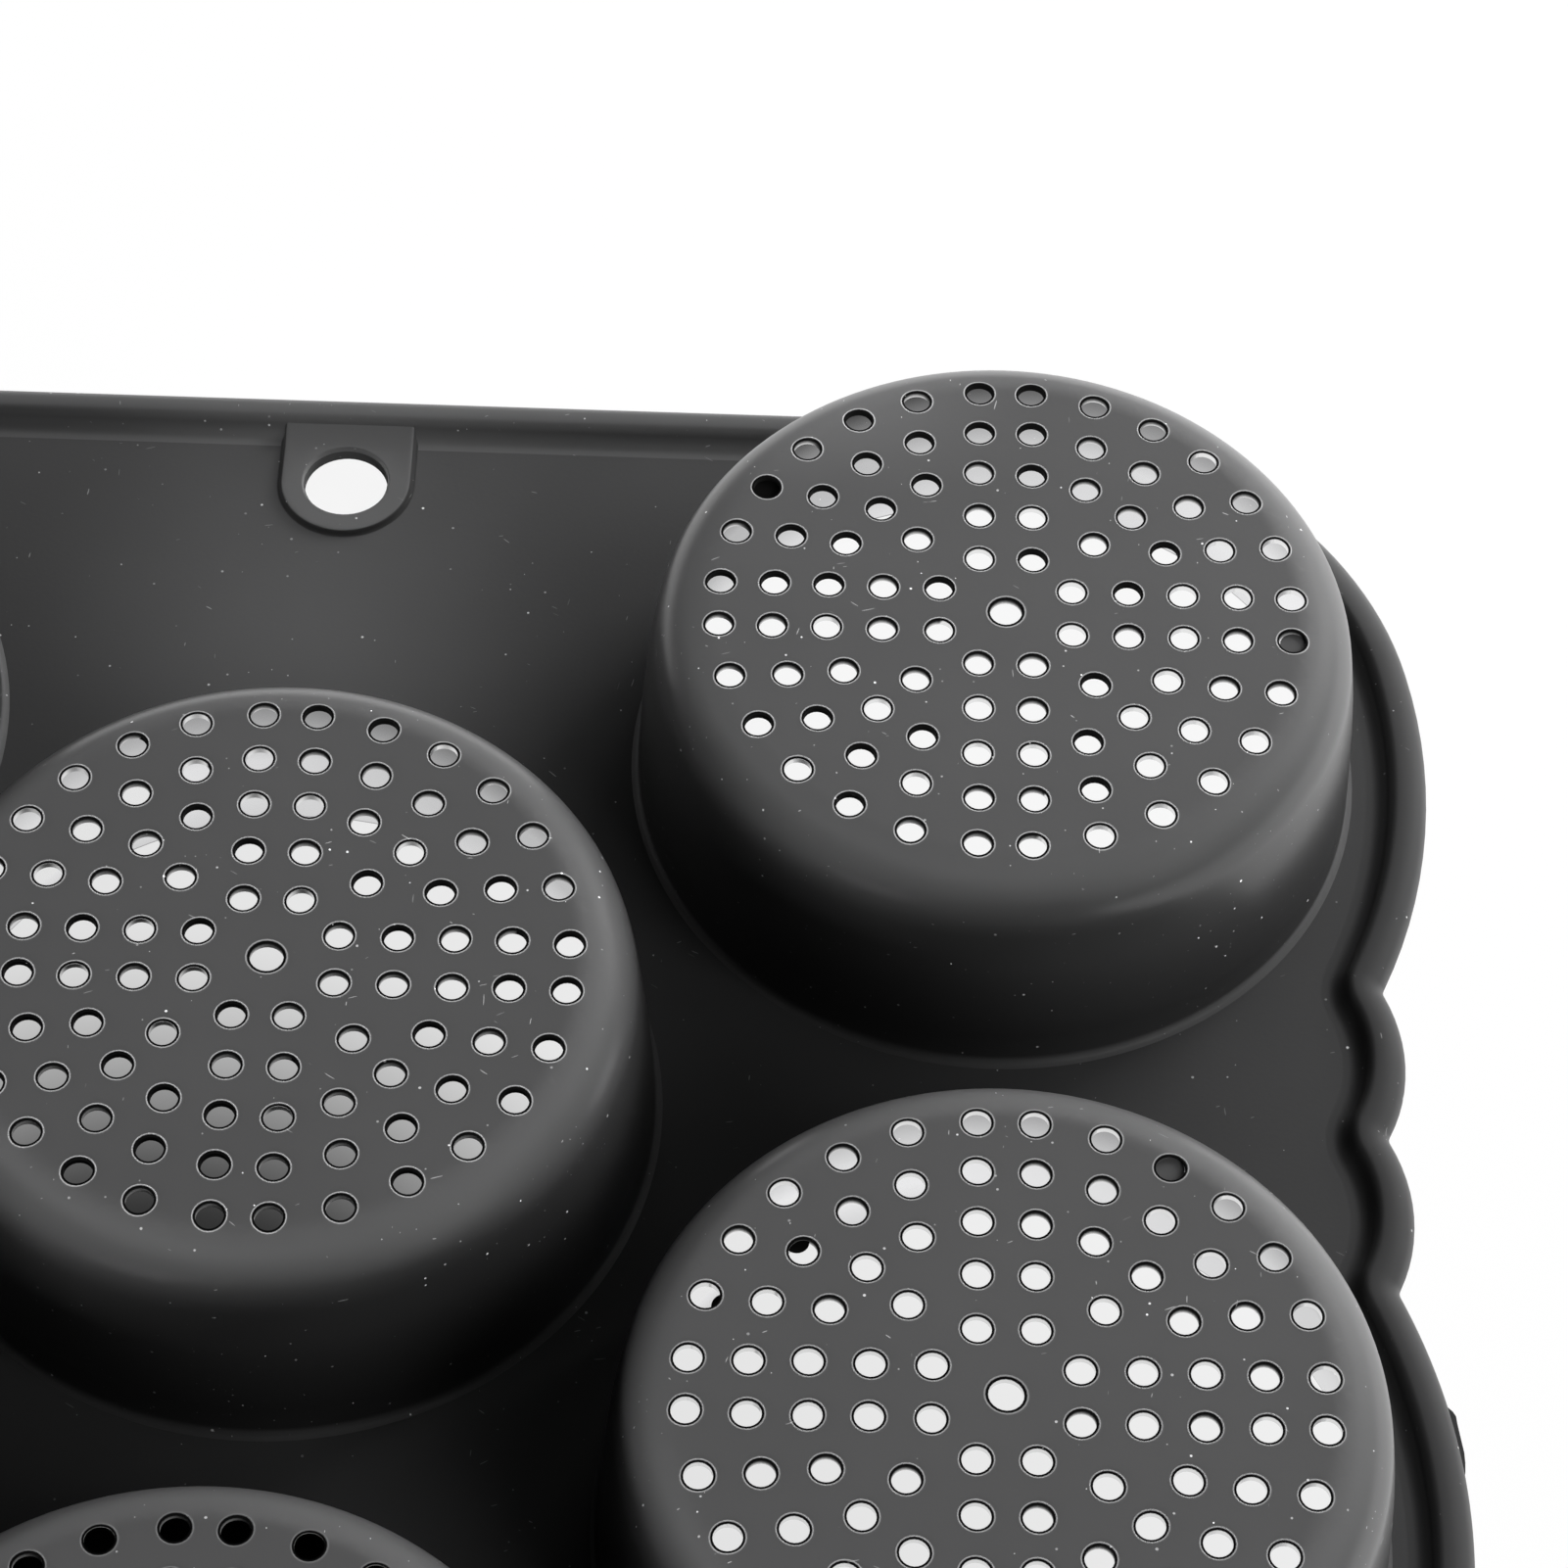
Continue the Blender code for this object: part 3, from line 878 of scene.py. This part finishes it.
# painted shade: the pad's flank is marked darker
flankPaintedShade = padLine.verts.layers.float.new("lip")
for vert in padLine.verts:
    if web - tab["markBelow"] < vert.co.z / mm < padTop - tab["markUnder"]:
        vert[flankPaintedShade] = 1.0
bmesh.ops.translate(padLine, verts=padLine.verts, vec=(0, tab["end"] * mm, 0))
tabCentre = Vector((0, tab["holeY"] * mm, 0))
run = Vector((0, (tab["holeY"] - tab["end"]) * mm, 0))
geom = sweepGo(padLine, padLine.verts[:] + padLine.edges[:], run)
geom = sweepTurn(padLine, geom, tabCentre, -math.pi, tab["turnSteps"])
sweepGo(padLine, geom, -run)
eye = section([
    *((radius, padTop - depth, *bend) for radius, depth, *bend in tab["eyeLine"]),
    (tab["throat"], padFoot),
])
spinRound(eye, tab["eyeSides"])
bmesh.ops.translate(eye, verts=eye.verts, vec=tabCentre)
joinInto(padLine, eye)
bmesh.ops.remove_doubles(padLine, verts=padLine.verts, dist=weld)
for level in (padTop, padFoot):
    ends = [
        vert for vert in padLine.verts
        if isNear(vert.co.y, tab["end"] * mm) and isNear(vert.co.z, level * mm)
        and isNear(abs(vert.co.x), (half - tab["flat"]) * mm)
    ]
    padLine.edges.new(ends)
    fillLevel(padLine, level * mm)
openEdges = [edge for edge in padLine.edges if edge.is_boundary]
bmesh.ops.holes_fill(padLine, edges=openEdges, sides=0)
bmesh.ops.bisect_plane(
    padLine, geom=padLine.verts[:] + padLine.edges[:] + padLine.faces[:], dist=tiny,
    plane_co=(0, tab["rampStart"] * mm, 0), plane_no=(0, 1, 0),
)
for vert in padLine.verts:
    along = (vert.co.y / mm - tab["rampStart"]) / (tab["end"] - tab["rampStart"])
    if along > 0 and vert.co.z > (web + tab["rampOver"]) * mm:
        vert.co.z += tab["ramp"] * along * (vert.co.z / mm - web) / tab["rise"] * mm
finishPiece(padLine, "hangingTab", [tabSilicone], ["hanging_tab"])

print("stage")
stageLook = {
    "size": 6.0,  # metres
    "below": 0.0004,  # the floor lies this far under the mould, in metres
    "floorGrey": 0.8,
    "white": 0.97,  # share of plain white that the camera sees in the floor
    "shadeCentre": (-17.7, 4.4, 0),  # the table under the mould is dark round here
    "shadeLow": 40,  # distance at which it grows paler
    "shadeHigh": 97,
    "shadeGrey": 0.04,
    "shadeFront": 0,  # in front of this line it is black
    "frontBlur": 15,
    "shadeRight": 50,  # beyond this line there is none
    "rightBlur": 4,
    "underWhite": (0.78, 0.96),  # brightest under the mould, at the left front and the right back
    "underRun": (40, 250),  # x + y where the first begins to change, and where the second is reached
    "underHalf": (155, 186),  # the shaded table's half width and half length
    "underCorner": 312,  # its corners end where |x| + |y| is this much
    "worldLight": 0.015,
    "worldWhite": 1.0,  # what the camera sees beyond the floor
}
floorMaterial, wire, place = newMaterial("floorWhite")
cameraRays = wire.make("ShaderNodeLightPath", output="Is Camera Ray")
glossyRays = wire.make("ShaderNodeLightPath", output="Is Glossy Ray")
passingRays = wire.make("ShaderNodeLightPath", output="Is Transmission Ray")
acrossX = wire.make("ShaderNodeSeparateXYZ", {}, {0: place}, 0)
acrossY = wire.make("ShaderNodeSeparateXYZ", {}, {0: place}, 1)
middle = tuple(value * mm for value in stageLook["shadeCentre"])
far = wire.make("ShaderNodeVectorMath", {"operation": "DISTANCE"}, {0: place, 1: middle}, "Value")
shade = far.ramp(stageLook["shadeLow"] * mm, stageLook["shadeHigh"] * mm, stageLook["shadeGrey"], 1.0)
front, frontBlur = stageLook["shadeFront"], stageLook["frontBlur"]
shade = shade * acrossY.ramp((front - frontBlur) * mm, (front + frontBlur) * mm)
right, rightBlur = stageLook["shadeRight"], stageLook["rightBlur"]
bright = acrossX.ramp((right - rightBlur) * mm, (right + rightBlur) * mm)
runStart, runEnd = stageLook["underRun"]
underWhite = (acrossX + acrossY).ramp(runStart * mm, runEnd * mm, *stageLook["underWhite"])
shade = wire.reckon("MAXIMUM", shade, bright) * underWhite
absX = wire.reckon("ABSOLUTE", acrossX)
absY = wire.reckon("ABSOLUTE", acrossY)
halfWidth, halfLength = stageLook["underHalf"]
notCorner = (absX + absY) < stageLook["underCorner"] * mm
under = (absX < halfWidth * mm) * (absY < halfLength * mm) * notCorner
brightness = 1 - under * (1 - shade)
paper = wire.make("ShaderNodeBsdfDiffuse", {}, {"Color": (stageLook["floorGrey"],) * 3 + (1,)})
glow = wire.make("ShaderNodeEmission", {}, {"Color": (1, 1, 1, 1), "Strength": brightness})
seen = wire.reckon("MAXIMUM", wire.reckon("MAXIMUM", cameraRays, glossyRays), passingRays)
mix = wire.make("ShaderNodeMixShader", {}, {0: seen * stageLook["white"], 1: paper, 2: glow})
below = wire.make("ShaderNodeNewGeometry", output="Backfacing")
clear = wire.make("ShaderNodeBsdfTransparent")  # a camera under the floor sees the mould
mix = wire.make("ShaderNodeMixShader", {}, {0: below, 1: mix, 2: clear})
wire.make("ShaderNodeOutputMaterial", {}, {"Surface": mix})
floorMesh = bmesh.new()
bmesh.ops.create_grid(
    floorMesh, x_segments=1, y_segments=1, size=stageLook["size"] / 2,
    matrix=Matrix.Translation((0, 0, -stageLook["below"])),
)
floorData = bpy.data.meshes.new("studioFloor")
floorMesh.to_mesh(floorData)
floorMesh.free()
floorData.materials.append(floorMaterial)
studioFloor = addObject("studioFloor", floorData)

world = bpy.data.worlds.new("studioWorld")
world.use_nodes = True
world.node_tree.nodes.clear()
sky = Wire(world.node_tree, None)
skyRays = sky.make("ShaderNodeLightPath", output="Is Camera Ray")
backgrounds = [
    sky.make("ShaderNodeBackground", {}, {"Color": (1, 1, 1, 1), "Strength": strength})
    for strength in (stageLook["worldLight"], stageLook["worldWhite"])
]
mix = sky.make("ShaderNodeMixShader", {}, {0: skyRays, 1: backgrounds[0], 2: backgrounds[1]})
sky.make("ShaderNodeOutputWorld", {}, {"Surface": mix})
bpy.context.scene.world = world

softboxes = {  # degrees round from the back to the right, degrees up, width in metres, watts
    "backRightSoftbox": (45, 10, 0.6, 32.3),
    "backSoftbox": (30, 15, 0.8, 4.8),
    "rightFrontSoftbox": (125, 30, 0.8, 9.7),
    "rightSoftbox": (90, 25, 0.8, 2.4),
    "rightHighSoftbox": (90, 50, 0.8, 1.9),
}
softboxReach = 1.5  # metres
softboxAim = Vector((0.05, 0.05, 0))
strips = {  # place and aim in metres, width, height, watts
    "rightBackStrip": ((0.38, 0.42, 0.10), (0.05, 0.10, 0.02), 0.5, 0.18, 2.72),
    "rightFrontStrip": ((0.32, -0.40, 0.05), (0.05, -0.10, 0.02), 0.5, 0.08, 0.97),
    "backStrip": ((0.15, 0.60, 0.30), (0.05, 0.10, 0.02), 0.5, 0.2, 0.86),
    "leftFrontStrip": ((-0.15, -0.50, 0.07), (0.05, 0.05, 0.03), 0.5, 0.06, 5.9),
    "leftStrip": ((-0.50, -0.05, 0.045), (0.0, 0.05, 0.035), 0.5, 0.03, 4.4),
    "leftBackStrip": ((-0.50, 0.30, 0.045), (0.0, 0.10, 0.035), 0.6, 0.03, 2.9),
    "backRimStrip": ((0.03, 0.15, 0.08), (0.03, 0.196, 0.004), 0.12, 0.02, 0.007),
    "tabSpot": ((-0.004, 0.152, 0.25), (-0.004, 0.1521, 0), 0.02, 0.02, 0.0056),
}
stripSpreads = {"backRimStrip": 50, "tabSpot": 19}  # degrees; the others spread 180


def addLamp(name, place, aim, width, height, watts, spread=180):
    data = bpy.data.lights.new(name, "AREA")
    data.shape = "RECTANGLE"
    data.size = width
    data.size_y = height
    data.energy = watts
    data.spread = math.radians(spread)
    lamp = addObject(name, data)
    lamp.location = place
    lamp.rotation_euler = (aim - place).to_track_quat("-Z", "Y").to_euler()
    lamp.visible_camera = False
    lamp.visible_glossy = False


for name, (bearing, up, width, watts) in softboxes.items():
    swing, lift = math.radians(bearing), math.radians(up)
    way = Vector((math.sin(swing) * math.cos(lift), math.cos(swing) * math.cos(lift), math.sin(lift)))
    addLamp(name, way * softboxReach, softboxAim, width, width, watts)
for name, (place, aim, width, height, watts) in strips.items():
    addLamp(name, Vector(place), Vector(aim), width, height, watts, stripSpreads.get(name, 180))

camera = {
    "place": (0.06919, -0.31443, 0.59869),  # metres
    "turn": (36.2715, -1.1432, 1.4621),
    "lens": 113.61,
    "sensor": 36,
    "clip": (0.05, 20),  # metres
}
lensData = bpy.data.cameras.new("photoCamera")
lensData.lens = camera["lens"]
lensData.sensor_width = camera["sensor"]
lensData.clip_start, lensData.clip_end = camera["clip"]
eyePoint = addObject("photoCamera", lensData)
eyePoint.location = camera["place"]
eyePoint.rotation_euler = [math.radians(angle) for angle in camera["turn"]]
bpy.context.scene.camera = eyePoint
bpy.context.scene.view_settings.view_transform = "Standard"
